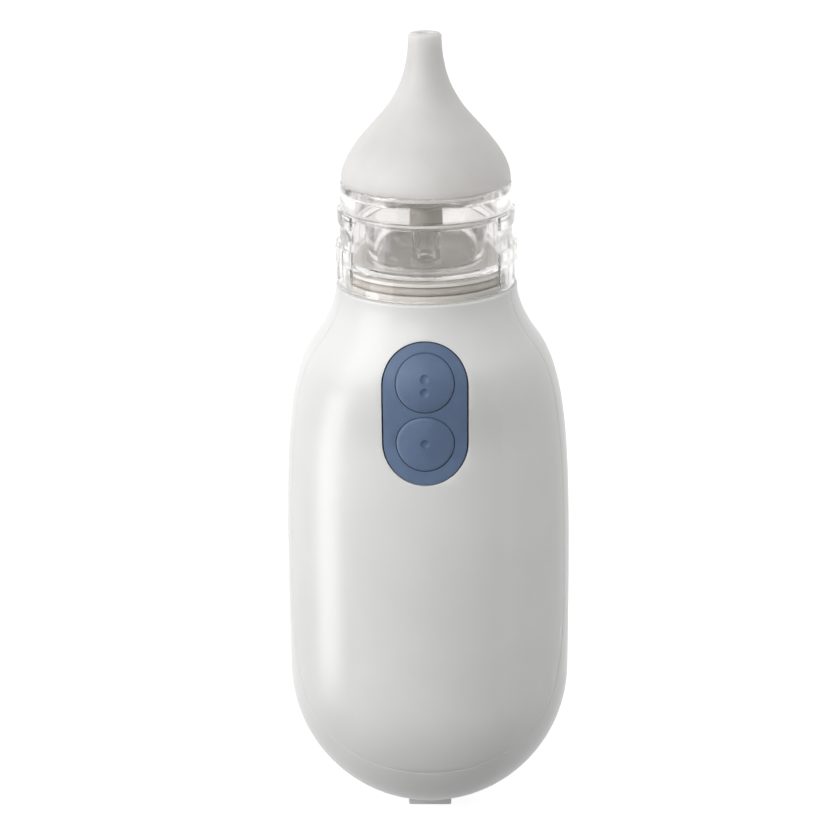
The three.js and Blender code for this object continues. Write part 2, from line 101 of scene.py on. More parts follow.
def tidyMesh():
    bpy.ops.mesh.select_all(action="SELECT")
    bpy.ops.mesh.remove_doubles(threshold=mergeGap)
    bpy.ops.mesh.normals_make_consistent(inside=False)


def placed(piece, name):
    startFresh()
    piece.name = name
    piece.data.name = name
    only(piece)
    bpy.ops.object.transform_apply(location=True, rotation=True, scale=True)
    return piece


# a line of vertices drawn by extruding one vertex from point to point
def drawLine(points, closed=True):
    startFresh()
    bpy.ops.mesh.primitive_plane_add(size=0.001)
    piece = bpy.context.object
    bpy.ops.object.mode_set(mode="EDIT")
    bpy.ops.mesh.select_mode(type="VERT")
    bpy.ops.mesh.merge(type="CENTER")
    bpy.ops.transform.translate(value=Vector(points[0]) * mm)
    path = list(points[1:]) + ([points[0]] if closed else [])
    last = Vector(points[0])
    for point in path:
        step = (Vector(point) - last) * mm
        bpy.ops.mesh.extrude_region_move(TRANSFORM_OT_translate={"value": step})
        last = Vector(point)
    if closed:
        bpy.ops.mesh.select_all(action="SELECT")
        bpy.ops.mesh.remove_doubles(threshold=mergeGap)
    return piece


# a lathe: the profile of (radius, height) points is spun clockwise about the upright axis
def turn(name, profile, steps=96, start=0.0, sweep=360.0):
    closed = profile[0][0] > 0.001 or profile[-1][0] > 0.001
    across, along = math.cos(math.radians(start)), math.sin(math.radians(start))
    piece = drawLine([(r * across, r * along, z) for r, z in profile], closed)
    bpy.ops.mesh.select_all(action="SELECT")
    bpy.ops.mesh.spin(steps=steps, angle=math.radians(sweep), center=(0, 0, 0), axis=(0, 0, 1))
    bpy.ops.mesh.select_all(action="SELECT")
    bpy.ops.mesh.remove_doubles(threshold=mergeGap)
    if sweep < 360:
        bpy.ops.mesh.select_all(action="SELECT")
        bpy.ops.mesh.fill_holes(sides=0)
    tidyMesh()
    return placed(piece, name)


# a flat outline filled and pulled straight along one direction
def prism(name, outline, pull):
    piece = drawLine(outline)
    bpy.ops.mesh.select_all(action="SELECT")
    bpy.ops.mesh.edge_face_add()
    bpy.ops.mesh.extrude_region_move(TRANSFORM_OT_translate={"value": Vector(pull) * mm})
    tidyMesh()
    return placed(piece, name)


# rings of one count of sides, each extruded from the last and resized
def ringTower(name, stations, sides=96):
    startFresh()
    wide, deep, high = stations[0]
    bpy.ops.mesh.primitive_circle_add(vertices=sides, radius=mm, location=(0, 0, 0))
    piece = bpy.context.object
    bpy.ops.object.mode_set(mode="EDIT")
    bpy.ops.mesh.select_mode(type="EDGE")
    bpy.ops.mesh.select_all(action="SELECT")
    bpy.ops.transform.resize(value=(wide, deep, 1), center_override=(0, 0, 0))
    bpy.ops.transform.translate(value=(0, 0, high * mm))
    for nextWide, nextDeep, nextHigh in stations[1:]:
        rise = (0, 0, (nextHigh - high) * mm)
        bpy.ops.mesh.extrude_region_move(TRANSFORM_OT_translate={"value": rise})
        bpy.ops.transform.resize(value=(nextWide / wide, nextDeep / deep, 1),
                                 center_override=(0, 0, nextHigh * mm))
        wide, deep, high = nextWide, nextDeep, nextHigh
    bpy.ops.mesh.merge(type="CENTER")
    bpy.ops.mesh.select_mode(type="VERT")
    bpy.ops.object.mode_set(mode="OBJECT")
    for vertex in piece.data.vertices:      # the first ring closes on its middle, as the last one just did
        vertex.select = vertex.index < sides
    bpy.ops.object.mode_set(mode="EDIT")
    bpy.ops.mesh.merge(type="CENTER")
    tidyMesh()
    return placed(piece, name)


# points along part of a circle, from one angle to another in degrees
def arc(centreX, centreZ, radius, start, end, steps):
    points = []
    for i in range(steps + 1):
        angle = math.radians(start + (end - start) * i / steps)
        points.append((centreX + radius * math.cos(angle), centreZ + radius * math.sin(angle)))
    return points


# points along a cubic curve with two handles, without its first point
def curve(a, b, c, d, steps):
    points = []
    for i in range(1, steps + 1):
        t = i / steps
        weights = ((1 - t) ** 3, 3 * (1 - t) ** 2 * t, 3 * (1 - t) * t * t, t ** 3)
        points.append(tuple(sum(w * p[k] for w, p in zip(weights, (a, b, c, d))) for k in (0, 1)))
    return points


def smoothstep(low, high, value):
    t = min(1.0, max(0.0, (value - low) / (high - low)))
    return t * t * (3 - 2 * t)


# a node's lowest and highest corners in millimetres
def inMm(node):
    low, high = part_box(node)
    return [v / mm for v in low], [v / mm for v in high]


# colour and node helpers

def linear(hexColour):
    channels = []
    for i in (1, 3, 5):
        value = int(hexColour[i:i + 2], 16) / 255
        channels.append(value / 12.92 if value <= 0.04045 else ((value + 0.055) / 1.055) ** 2.4)
    return (*channels, 1.0)


def addNode(tree, kind, sockets=None, **settings):
    made = tree.nodes.new(kind)
    for name, value in settings.items():
        setattr(made, name, value)
    for name, value in (sockets or {}).items():
        if isinstance(value, bpy.types.NodeSocket):
            tree.links.new(value, made.inputs[name])
        else:
            made.inputs[name].default_value = value
    return made


def newMaterial(name, **shader):
    material = bpy.data.materials.new(name)
    material.use_nodes = True
    tree = material.node_tree
    surface = tree.nodes["Principled BSDF"]
    for socket, value in shader.items():
        surface.inputs[socket.replace("_", " ")].default_value = value
    place = addNode(tree, "ShaderNodeTexCoord").outputs["Object"]
    return material, tree, surface, place


# two close tones mixed by a cloudy noise of a given size in millimetres
def cloudyColour(tree, surface, place, dark, light, size):
    noise = addNode(tree, "ShaderNodeTexNoise", {"Vector": place, "Scale": 1 / (size * mm), "Detail": 3.0})
    ramp = addNode(tree, "ShaderNodeValToRGB", {"Fac": noise.outputs["Fac"]})
    ramp.color_ramp.elements[0].position = 0.3
    ramp.color_ramp.elements[1].position = 0.7
    ramp.color_ramp.elements[0].color = linear(dark)
    ramp.color_ramp.elements[1].color = linear(light)
    tree.links.new(ramp.outputs["Color"], surface.inputs["Base Color"])
    return noise


def grainBump(tree, surface, place, size, height):
    noise = addNode(tree, "ShaderNodeTexNoise", {"Vector": place, "Scale": 1 / (size * mm), "Detail": 2.0})
    bump = addNode(tree, "ShaderNodeBump",
                   {"Height": noise.outputs["Fac"], "Distance": height * mm, "Strength": 1.0})
    tree.links.new(bump.outputs["Normal"], surface.inputs["Normal"])


def roughnessRange(tree, surface, noise, low, high):
    spread = addNode(tree, "ShaderNodeMapRange",
                     {"Value": noise.outputs["Fac"], "To Min": low, "To Max": high})
    tree.links.new(spread.outputs["Result"], surface.inputs["Roughness"])


# light that goes in and comes out again, with its reach in millimetres for red, green and blue
def scatterInside(surface, weight, reach):
    surface.inputs["Subsurface Weight"].default_value = weight
    surface.inputs["Subsurface Radius"].default_value = tuple(distance * mm for distance in reach)
    surface.inputs["Subsurface Scale"].default_value = 1.0


# materials, each from the real stuff and how it was made

def glossyAbs():        # injection-moulded ABS from a polished mould: even white, broad soft highlights
    material, tree, surface, place = newMaterial("glossyMouldedAbs", IOR=1.53)
    scatterInside(surface, 0.06, (1.2, 1.1, 1.0))
    noise = cloudyColour(tree, surface, place, "#E6E6E4", "#ECECEB", 22)
    roughnessRange(tree, surface, noise, 0.26, 0.32)
    grainBump(tree, surface, place, 1.6, 0.004)          # the faint flow waviness of a moulded skin
    return material


def softTouch():        # two-shot soft-touch TPE: matt blue with a fine even spark-eroded grain
    material, tree, surface, place = newMaterial("softTouchElastomer", IOR=1.47)
    surface.inputs["Sheen Weight"].default_value = 0.12
    surface.inputs["Sheen Roughness"].default_value = 0.5
    noise = cloudyColour(tree, surface, place, "#5A6E8D", "#627796", 3.5)
    roughnessRange(tree, surface, noise, 0.44, 0.54)
    grainBump(tree, surface, place, 0.22, 0.006)        # mould grain near 0.05 mm, drawn four times coarser
    return material


# clear moulded copolyester: the low index stands for walls thinner than the solid ones here, and a coat
# keeps the gloss of the real index; a faint grey cast and soft flow lines show where walls overlap
def clearCopolyester():
    material, tree, surface, place = newMaterial("clearMouldedCopolyester", IOR=1.25, Coat_Weight=0.6)
    surface.inputs["Transmission Weight"].default_value = 1.0
    noise = cloudyColour(tree, surface, place, "#F1F0EF", "#F6F5F4", 9)
    roughnessRange(tree, surface, noise, 0.05, 0.09)
    grainBump(tree, surface, place, 4.0, 0.008)
    # lamps reach what is shut inside: thin clear walls hold back hardly any light
    path = addNode(tree, "ShaderNodeLightPath")
    clear = addNode(tree, "ShaderNodeBsdfTransparent", {"Color": linear("#F6F6F5")})
    either = addNode(tree, "ShaderNodeMixShader", {"Fac": path.outputs["Is Shadow Ray"]})
    tree.links.new(surface.outputs["BSDF"], either.inputs[1])
    tree.links.new(clear.outputs["BSDF"], either.inputs[2])
    tree.links.new(either.outputs["Shader"], tree.nodes["Material Output"].inputs["Surface"])
    return material


def milkySilicone():    # liquid silicone rubber, moulded: milky, glows a little where it is thin
    material, tree, surface, place = newMaterial("milkyMouldedSilicone", IOR=1.41)
    scatterInside(surface, 0.75, (8, 7.6, 7))
    noise = cloudyColour(tree, surface, place, "#D9D6D3", "#E0DEDB", 8)
    roughnessRange(tree, surface, noise, 0.34, 0.44)
    grainBump(tree, surface, place, 0.5, 0.004)
    return material


def greySilicone():     # smoky silicone for seals and the baffle
    material, tree, surface, place = newMaterial("smokyMouldedSilicone", IOR=1.41)
    scatterInside(surface, 0.4, (1.5, 1.4, 1.2))
    noise = cloudyColour(tree, surface, place, "#A39E98", "#B1ACA6", 2.5)
    roughnessRange(tree, surface, noise, 0.38, 0.5)
    grainBump(tree, surface, place, 0.4, 0.004)
    return material


def satinPolypropylene(name, dark, light):      # satin polypropylene inner mouldings
    material, tree, surface, place = newMaterial(name, IOR=1.49)
    noise = cloudyColour(tree, surface, place, dark, light, 6)
    roughnessRange(tree, surface, noise, 0.38, 0.5)
    grainBump(tree, surface, place, 0.35, 0.006)
    return material


def nickelPlate():      # nickel-plated steel: bright, with fine drawing lines along the strip
    material, tree, surface, place = newMaterial("nickelPlatedSteel", Metallic=1.0)
    stretch = addNode(tree, "ShaderNodeMapping", {"Vector": place, "Scale": (1, 1, 0.06)})
    noise = addNode(tree, "ShaderNodeTexNoise",
                    {"Vector": stretch.outputs["Vector"], "Scale": 1 / (0.25 * mm), "Detail": 2.0})
    ramp = addNode(tree, "ShaderNodeValToRGB", {"Fac": noise.outputs["Fac"]})
    ramp.color_ramp.elements[0].color = linear("#A9AAAA")
    ramp.color_ramp.elements[1].color = linear("#CBCAC6")
    tree.links.new(ramp.outputs["Color"], surface.inputs["Base Color"])
    roughnessRange(tree, surface, noise, 0.2, 0.34)
    return material


def mouldedRubber():    # black moulded EPDM, matt
    material, tree, surface, place = newMaterial("blackMouldedRubber", IOR=1.5)
    noise = cloudyColour(tree, surface, place, "#1D1D1F", "#29292B", 1.5)
    roughnessRange(tree, surface, noise, 0.6, 0.75)
    grainBump(tree, surface, place, 0.3, 0.01)
    return material


def solderMask():       # green solder mask over a glass-fibre board, tracks showing as lighter bands
    material, tree, surface, place = newMaterial("solderMaskedBoard", IOR=1.5, Roughness=0.35)
    waves = addNode(tree, "ShaderNodeTexWave", {"Vector": place, "Scale": 1 / (22 * mm), "Distortion": 3.0})
    ramp = addNode(tree, "ShaderNodeValToRGB", {"Fac": waves.outputs["Fac"]})
    ramp.color_ramp.elements[0].color = linear("#1F5436")
    ramp.color_ramp.elements[1].color = linear("#2E7048")
    ramp.color_ramp.interpolation = "CONSTANT"
    ramp.color_ramp.elements[1].position = 0.6
    tree.links.new(ramp.outputs["Color"], surface.inputs["Base Color"])
    grainBump(tree, surface, place, 0.5, 0.01)
    return material


def cellSleeve():       # printed shrink sleeve round an AA cell: dark body and a copper band near one end
    material, tree, surface, place = newMaterial("printedCellSleeve", IOR=1.5, Roughness=0.3)
    split = addNode(tree, "ShaderNodeSeparateXYZ", {"Vector": place})
    band = addNode(tree, "ShaderNodeMapRange", {"Value": split.outputs["Z"], "From Min": 52 * mm,
                                                "From Max": 52.4 * mm})
    noise = addNode(tree, "ShaderNodeTexNoise", {"Vector": place, "Scale": 1 / (1.2 * mm)})
    tint = addNode(tree, "ShaderNodeMix", {"Factor": band.outputs["Result"]}, data_type="RGBA")
    tint.inputs["A"].default_value = linear("#2B3036")
    tint.inputs["B"].default_value = linear("#B5713F")
    shade = addNode(tree, "ShaderNodeMix", {"Factor": 0.12}, data_type="RGBA", blend_type="MULTIPLY")
    tree.links.new(tint.outputs["Result"], shade.inputs["A"])
    tree.links.new(noise.outputs["Color"], shade.inputs["B"])
    tree.links.new(shade.outputs["Result"], surface.inputs["Base Color"])
    grainBump(tree, surface, place, 0.8, 0.006)
    return material


def enamelledCopper():  # enamelled copper wire wound on laminations: fine turns across the core
    material, tree, surface, place = newMaterial("enamelledCopperWinding", Metallic=0.8, Roughness=0.35)
    waves = addNode(tree, "ShaderNodeTexWave", {"Vector": place, "Scale": 1 / (1.1 * mm)},
                    bands_direction="Z")
    ramp = addNode(tree, "ShaderNodeValToRGB", {"Fac": waves.outputs["Fac"]})
    ramp.color_ramp.elements[0].color = linear("#6E3A1C")
    ramp.color_ramp.elements[1].color = linear("#B4703C")
    tree.links.new(ramp.outputs["Color"], surface.inputs["Base Color"])
    bump = addNode(tree, "ShaderNodeBump", {"Height": waves.outputs["Fac"], "Distance": 0.08 * mm})
    tree.links.new(bump.outputs["Normal"], surface.inputs["Normal"])
    return material


def wireSleeve(name, dark, light):      # extruded PVC insulation
    material, tree, surface, place = newMaterial(name, IOR=1.52)
    noise = cloudyColour(tree, surface, place, dark, light, 2)
    roughnessRange(tree, surface, noise, 0.35, 0.5)
    grainBump(tree, surface, place, 0.4, 0.004)
    return material


finishes = {
    "casing_white": glossyAbs(),
    "soft_blue": softTouch(),
    "clear_plastic": clearCopolyester(),
    "milky_silicone": milkySilicone(),
    "grey_silicone": greySilicone(),
    "neck_plastic": satinPolypropylene("satinMouldedPolypropylene", "#D3CFC9", "#DBD8D3"),
    "natural_plastic": satinPolypropylene("naturalMouldedAcetal", "#D6D3C9", "#DEDBD2"),
    "dark_plastic": satinPolypropylene("charcoalMouldedNylon", "#2E3136", "#393C42"),
    "board": solderMask(),
    "cell": cellSleeve(),
    "steel": nickelPlate(),
    "winding": enamelledCopper(),
    "black_rubber": mouldedRubber(),
    "wire_black": wireSleeve("blackPvcInsulation", "#131315", "#1C1C1F"),
    "wire_red": wireSleeve("redPvcInsulation", "#8F1C1A", "#A82420"),
}

for entry in frame["record"]["subparts"]:
    cadNode = frame["nodes"][entry["node"]]
    cadNode.data.materials.clear()
    cadNode.data.materials.append(finishes[entry["material_slot"]])


# gives a piece its finish, its body and the CAD nodes that it stands for
def finished(piece, slotName, body, *nodes):
    piece.data.materials.clear()
    piece.data.materials.append(finishes[slotName])
    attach(piece, body)
    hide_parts(*nodes)


# the camera looks down at the keypad side from a little to the right, at about 0.4 m
cameraPlan = {"aim": (-1.54, 0, 86.8), "distance": 401.8, "lens": 85, "azimuth": 1.5, "elevation": 19.6,
              "roll": 0.5}


def setCamera(plan):
    turned, raised = math.radians(plan["azimuth"]), math.radians(plan["elevation"])
    back = Vector((math.sin(turned) * math.cos(raised), -math.cos(turned) * math.cos(raised),
                   math.sin(raised)))
    data = bpy.data.cameras.new("productCamera")
    data.lens = plan["lens"]
    data.clip_start = 0.01
    camera = bpy.data.objects.new("productCamera", data)
    bpy.context.scene.collection.objects.link(camera)
    look = (-back).to_track_quat("-Z", "Y").to_matrix().to_4x4()
    lean = Matrix.Rotation(math.radians(-plan["roll"]), 4, "Z")
    stand = (Vector(plan["aim"]) + back * plan["distance"]) * mm
    camera.matrix_world = Matrix.Translation(stand) @ look @ lean
    bpy.context.scene.camera = camera


setCamera(cameraPlan)

# casing: one hollow shell of rings, then cut into front shell, back shell, cover and keypad opening
casingLow, casingHigh = inMm("back_shell")
coverLow, coverHigh = inMm("battery_cover")
casing = {
    "halfWidth": casingHigh[0] - 0.02,
    "depthRatio": coverHigh[1] / casingHigh[0] - 0.001,
    "bottom": casingLow[2],
    "neckTop": casingHigh[2],
    "bulgeHeight": 32.3,
    "shoulder": (22.1, 105.3),
    "shoulderPull": (28.6, 96.9),
    "sidePull": 79.5,
    "neckRadius": 17.9,
    "filletLength": 3.2,
    "roundFrom": 86,
    "roundTo": 110,
    "wall": 2.0,
    "lip": 0.35,
    "seam": 0.1,
    "partingDepth": -7.0,
    "partingTurn": 50,
    "partingHandles": ((-7.0, 34), (-14, 24)),
    "partingFoot": (-20.3, 17.0),
}


# the casing's side from its foot to its neck, as (half width, height)
def casingOutline(plan):
    drop = plan["bulgeHeight"] - plan["bottom"]
    points = []
    for i in range(1, 31):
        angle = math.radians(3 * i)
        points.append((plan["halfWidth"] * math.sin(angle), plan["bulgeHeight"] - drop * math.cos(angle)))
    points += curve((plan["halfWidth"], plan["bulgeHeight"]), (plan["halfWidth"], plan["sidePull"]),
                    plan["shoulderPull"], plan["shoulder"], 30)
    slope = Vector(plan["shoulder"]) - Vector(plan["shoulderPull"])
    lead = Vector(plan["shoulder"]) + slope.normalized() * plan["filletLength"]
    top = plan["neckTop"] - 0.5
    points += curve(plan["shoulder"], tuple(lead), (plan["neckRadius"], top - plan["filletLength"]),
                    (plan["neckRadius"], top), 10)
    return points


# rings of (half width, half depth, height), oval in the body and round at the neck
def casingStations(plan, inset):
    stations = []
    drop = plan["bulgeHeight"] - plan["bottom"]
    for radius, height in casingOutline(plan):
        lift = inset * max(0.0, plan["bulgeHeight"] - height) / drop
        shy = inset * min(1.0, radius / 10)
        share = smoothstep(plan["roundFrom"], plan["roundTo"], height)
        ratio = plan["depthRatio"] + (1 - plan["depthRatio"]) * share
        stations.append((radius - shy, (radius - shy) * ratio, height + lift))
    return stations


def solidCasing(name, inset):
    stations = casingStations(casing, inset)
    wide, deep, high = stations[-1]
    top = casing["neckTop"] + 3
    return ringTower(name, [*stations, (wide, deep, top), (0.4, 0.4, top)])


def hollowCasing(name):
    outside = casingStations(casing, 0)
    inside = casingStations(casing, casing["wall"])
    lip, wide, top = casing["lip"], casing["neckRadius"], casing["neckTop"]
    inner = wide - casing["wall"]
    rim = [(wide, wide, top - lip), (wide - lip * 0.3, wide - lip * 0.3, top - lip * 0.3),
           (wide - lip, wide - lip, top), (inner, inner, top)]
    return ringTower(name, [*outside, *rim, *reversed(inside)])


def stadiumOutline(radius, halfStraight, height, depth):
    top = arc(0, height + halfStraight, radius, 0, 180, 32)
    bottom = arc(0, height - halfStraight, radius, 180, 360, 32)
    return [(x, depth, z) for x, z in top + bottom]


# a block in front of the joint line, which runs down the side and turns forward under the front shell
def partingCutter(name, shift):
    depth, beyond = casing["partingDepth"], 130
    line = [(depth, casing["partingTurn"])]
    line += curve(line[0], *casing["partingHandles"], casing["partingFoot"], 16)
    outline = [(depth, beyond), *line, (-34, 4), (-34, beyond)]
    return prism(name, [(-40, y + shift, z) for y, z in outline], (80, 0, 0))


keypadLow, keypadHigh = inMm("keypad")
keypad = {
    "radius": (keypadHigh[0] - keypadLow[0]) / 2,
    "height": (keypadLow[2] + keypadHigh[2]) / 2,
    "back": keypadHigh[1],
    "gap": 0.28,
    "sink": 0.12,
}
keypad["halfStraight"] = (keypadHigh[2] - keypadLow[2]) / 2 - keypad["radius"]

cover = {
    "halfWidth": 15.5,
    "low": 13.5,
    "high": 69.5,
    "corner": 4.0,
    "gap": 0.12,
    "ridges": ((0, 22.2, 60.5), (0, 22.2, 62.7), (0, 22.2, 64.9)),      # moulded finger ridges
    "ridgeSize": (11, 2.4, 0.9),
    "tongueSpread": 6,      # two tongues hook under the shell's lower edge
    "tongueRoot": ((14.6, 15.15), (4, 6.8, 1.7)),
    "tongueTip": ((11.8, 13.5), (4, 1.2, 3)),
}


def coverCutter(name, grow):
    half, low, high = cover["halfWidth"] + grow, cover["low"] - grow, cover["high"] + grow
    corner = cover["corner"]
    outline = (arc(half - corner, low + corner, corner, -90, 0, 8)
               + arc(half - corner, high - corner, corner, 0, 90, 8)
               + arc(-half + corner, high - corner, corner, 90, 180, 8)
               + arc(-half + corner, low + corner, corner, 180, 270, 8))
    return prism(name, [(x, 2, z) for x, z in outline], (0, 30, 0))


def barAlongY(name, radius, x, z, front, back, sides=32):
    startFresh()
    bpy.ops.mesh.primitive_cylinder_add(vertices=sides, radius=radius * mm, depth=(back - front) * mm,
                                        location=(x * mm, (front + back) / 2 * mm, z * mm),
                                        rotation=(math.pi / 2, 0, 0))
    return placed(bpy.context.object, name)


def block(name, middle, size):
    startFresh()
    bpy.ops.mesh.primitive_cube_add(size=mm, location=Vector(middle) * mm)
    made = bpy.context.object
    made.scale = size
    return placed(made, name)


screws = {
    "spots": [(side * x, z) for x, z in ((19, 84), (21.5, 54)) for side in (-1, 1)],
    "boss": 2.9,
    "counterbore": 2.6,
    "seat": 3.4,
    "hole": 1.35,
}


def makeShells():
    shell = hollowCasing("casingBlank")
    back = copyOf(shell, "backShell")
    panel = copyOf(shell, "batteryCover")
    seam = casing["seam"] / 2
    carve(shell, partingCutter("frontRegion", -seam), "INTERSECT")
    carve(back, partingCutter("behindRegion", seam), "DIFFERENCE")
    opening = stadiumOutline(keypad["radius"] + keypad["gap"], keypad["halfStraight"], keypad["height"], -30)
    carve(shell, prism("keypadOpening", opening, (0, 18, 0)))
    carve(back, coverCutter("coverOpening", cover["gap"] / 2))
    carve(panel, coverCutter("coverRegion", -cover["gap"] / 2), "INTERSECT")
    bossFront = casing["partingDepth"] + 0.2
    for i, (x, z) in enumerate(screws["spots"]):
        boss = barAlongY(f"boss{i}", screws["boss"], x, z, bossFront, 24)
        carve(boss, solidCasing(f"bossTrim{i}", 0.5), "INTERSECT")
        carve(back, boss, "UNION")
        carve(back, barAlongY(f"counterbore{i}", screws["counterbore"], x, z, screws["seat"], 30))
        carve(back, barAlongY(f"screwHole{i}", screws["hole"], x, z, -10, 10))
    softenEdges(shell, 0.12, angle=50, segments=2)
    softenEdges(back, 0.1, angle=50, segments=2)
    for piece in (shell, back):
        smooth(piece)
    shell.name = "frontShell"
    finished(shell, "casing_white", "casing", "front_shell")
    finished(back, "casing_white", "casing", "back_shell")
    return panel


def makeCover(panel):
    for i, middle in enumerate(cover["ridges"]):
        ridge = block(f"ridge{i}", middle, cover["ridgeSize"])
        softenEdges(ridge, 0.4, angle=40)
        carve(panel, ridge, "UNION")
    for side in (-1, 1):
        for part in ("tongueRoot", "tongueTip"):
            place, size = cover[part]
            carve(panel, block(part, (side * cover["tongueSpread"], *place), size), "UNION")
    softenEdges(panel, 0.1, angle=50, segments=2)
    smooth(panel)
    finished(panel, "casing_white", "cover", "battery_cover")


makeCover(makeShells())
print("casing shells and battery cover made")


def makeKeypad():
    pad = solidCasing("blueKeypad", keypad["sink"])
    outline = stadiumOutline(keypad["radius"], keypad["halfStraight"], keypad["height"], -30)
    carve(pad, prism("keypadRegion", outline, (0, 30 + keypad["back"], 0)), "INTERSECT")
    for level in ("high", "low"):
        low, high = inMm(f"{level}_button")
        hole = buttonPlan["radius"] + buttonPlan["gap"]
        carve(pad, barAlongY(f"{level}Hole", hole, 0, (low[2] + high[2]) / 2, -30, -10, 96))
    softenEdges(pad, 0.45, angle=40, segments=4)
    smooth(pad)
    finished(pad, "soft_blue", "casing", "keypad")


# buttons: crowned discs with a soft shoulder and small round dimples
buttonPlan = {"radius": 5.6, "gap": 0.1, "crown": 0.95, "dome": 0.75, "step": 0.1, "edge": 0.8, "flange": 6.0,
              "flangeTop": -4.2, "pin": 2, "pinLength": 0.7, "dimple": 0.95, "dimpleDepth": 0.5,
              "squash": 0.75}


def makeButton(level, dimples):
    low, high = inMm(f"{level}_button")
    height, apex = (low[2] + high[2]) / 2, low[1] + 0.05
    radius, edge = buttonPlan["radius"], buttonPlan["edge"]
    profile = []
    inner = radius - edge
    steps = 26
    for i in range(steps + 1):      # the crown, from the middle out
        r = inner * i / steps
        profile.append((r, -buttonPlan["crown"] * (r / radius) ** 2))
    last = profile[-1]
    slope = -2 * buttonPlan["crown"] * inner / radius ** 2
    profile += curve(last, (last[0] + edge * 0.6, last[1] + slope * edge * 0.6),
                     (radius, last[1] - edge * 0.35), (radius, last[1] - edge * 1.1), 8)
    depth = high[1] - apex
    flange, flangeTop = buttonPlan["flange"], buttonPlan["flangeTop"]
    pinRadius, pinTop = buttonPlan["pin"], buttonPlan["pinLength"] - depth
    profile += [(radius, flangeTop), (flange, flangeTop), (flange, pinTop),
                (pinRadius, pinTop), (pinRadius, -depth), (0, -depth)]
    button = turn(f"{level}Button", profile, steps=96)
    for offset in dimples:
        pressDimple(button, offset)
    # the profile was turned about Z: lay it down so that the crown faces the front
    lay = Matrix.Translation(Vector((0, apex * mm, height * mm))) @ Matrix.Rotation(math.pi / 2, 4, "X")
    button.matrix_world = lay
    button = placed(button, f"{level}Button")
    drapeCrown(button, apex, height)
    smooth(button, 40)
    finished(button, "soft_blue", f"{level}_key", f"{level}_button")


def pressDimple(button, offset):
    startFresh()
    bpy.ops.mesh.primitive_uv_sphere_add(segments=40, ring_count=24, radius=buttonPlan["dimple"] * mm,
                                         location=(0, offset * mm, 0))
    ball = bpy.context.object
    ball.scale = (1, 1, buttonPlan["squash"])
    drop = buttonPlan["crown"] * (offset / buttonPlan["radius"]) ** 2
    ball.location.z = (buttonPlan["dimple"] * buttonPlan["squash"] - buttonPlan["dimpleDepth"] - drop) * mm
    carve(button, placed(ball, "dimpleTool"))


casingSide = casingOutline(casing)


# front face of the casing, as a depth at a place across and up
def skinDepth(across, height):
    below = max((p for p in casingSide if p[1] <= height), key=lambda p: p[1])
    above = min((p for p in casingSide if p[1] > height), key=lambda p: p[1])
    share = (height - below[1]) / (above[1] - below[1])
    radius = below[0] + (above[0] - below[0]) * share
    roundness = smoothstep(casing["roundFrom"], casing["roundTo"], height)
    ratio = casing["depthRatio"] + (1 - casing["depthRatio"]) * roundness
    return -ratio * math.sqrt(max(0.0, radius ** 2 - across ** 2))


# lets the crown of a button follow the casing's curve while its barrel stays straight
def drapeCrown(button, apex, height):
    plan = buttonPlan
    for vertex in button.data.vertices:
        x, y, z = vertex.co / mm
        out = min(1.0, math.hypot(x, z - height) / plan["radius"])
        depth = y - apex
        dome = plan["dome"] * (1 - out ** 2)
        follow = skinDepth(x, z) - plan["step"] - dome + depth - plan["crown"] * out ** 2
        share = 1 - smoothstep(2.6, 4.0, depth)
        vertex.co.y = (y + share * (follow - y)) * mm


makeButton("high", (1.3, -1.3))
makeButton("low", (0.25,))
makeKeypad()
print("keypad and buttons made")

# foot: a softened block trimmed by the casing's round underside
footHeight = 7


def makeFoot():
    low, high = inMm("base_foot")
    foot = block("baseFoot", (0, (low[1] + high[1]) / 2, footHeight / 2),
                 (high[0] - low[0], high[1] - low[1], footHeight))
    softenEdges(foot, 0.5, angle=60, segments=4)
    carve(foot, solidCasing("footTrim", -0.05))
    smooth(foot)
    finished(foot, "casing_white", "casing", "base_foot")


makeFoot()
print("foot made")

# nozzle: thick-walled silicone bell with a rounded tip and a flange inside the lid
nozzleHigh = inMm("nozzle")[1]
nozzlePlan = {"base": 136.3, "radius": nozzleHigh[0] - 0.02, "waist": (7.4, 150.85), "tipRadius": 3.2,
              "tip": nozzleHigh[2], "lip": 0.85, "mouth": 0.4, "throat": (4.6, 150.8), "flangeLow": 134.8,
              "flangeInner": 12.7, "flangeOuter": 14.4, "flangeCorner": 0.3}


def makeNozzle():
    plan = nozzlePlan
    base = (plan["radius"], plan["base"] + 0.4)
    outside = [(plan["radius"] - 0.35, plan["base"]), (plan["radius"] - 0.1, plan["base"] + 0.1), base]
    outside += curve(base, (plan["radius"], 142.1), (9.65, 147.7), plan["waist"], 26)
    outside += curve(plan["waist"], (5, 154.2), (plan["tipRadius"] + 0.25, 157.6),
                     (plan["tipRadius"], 163.6), 20)
    lip = arc(plan["tipRadius"] - 0.8, plan["tip"] - plan["lip"], plan["lip"], 0, 90, 8)[1:]
    mouth = arc(1.9, plan["tip"] - plan["mouth"], plan["mouth"], 90, 180, 4)[1:]
    bore = curve(mouth[-1], (1.5, 158), (2.2, 154.5), plan["throat"], 12)
    bell = curve(plan["throat"], (8.2, 146.2), (13.2, 143.5), (13.4, 139), 14)
    low, corner = plan["flangeLow"], plan["flangeCorner"]
    inner, outer = plan["flangeInner"], plan["flangeOuter"]
    flange = [(inner, low + corner), (inner + corner, low), (outer - corner, low), (outer, low + corner),
              (outer, plan["base"])]
    nozzle = turn("siliconeNozzle", outside + lip + mouth + bore + bell + flange, steps=128)
    smooth(nozzle, 45)
    finished(nozzle, "milky_silicone", "nozzle_tip", "nozzle")


makeNozzle()
print("nozzle made")

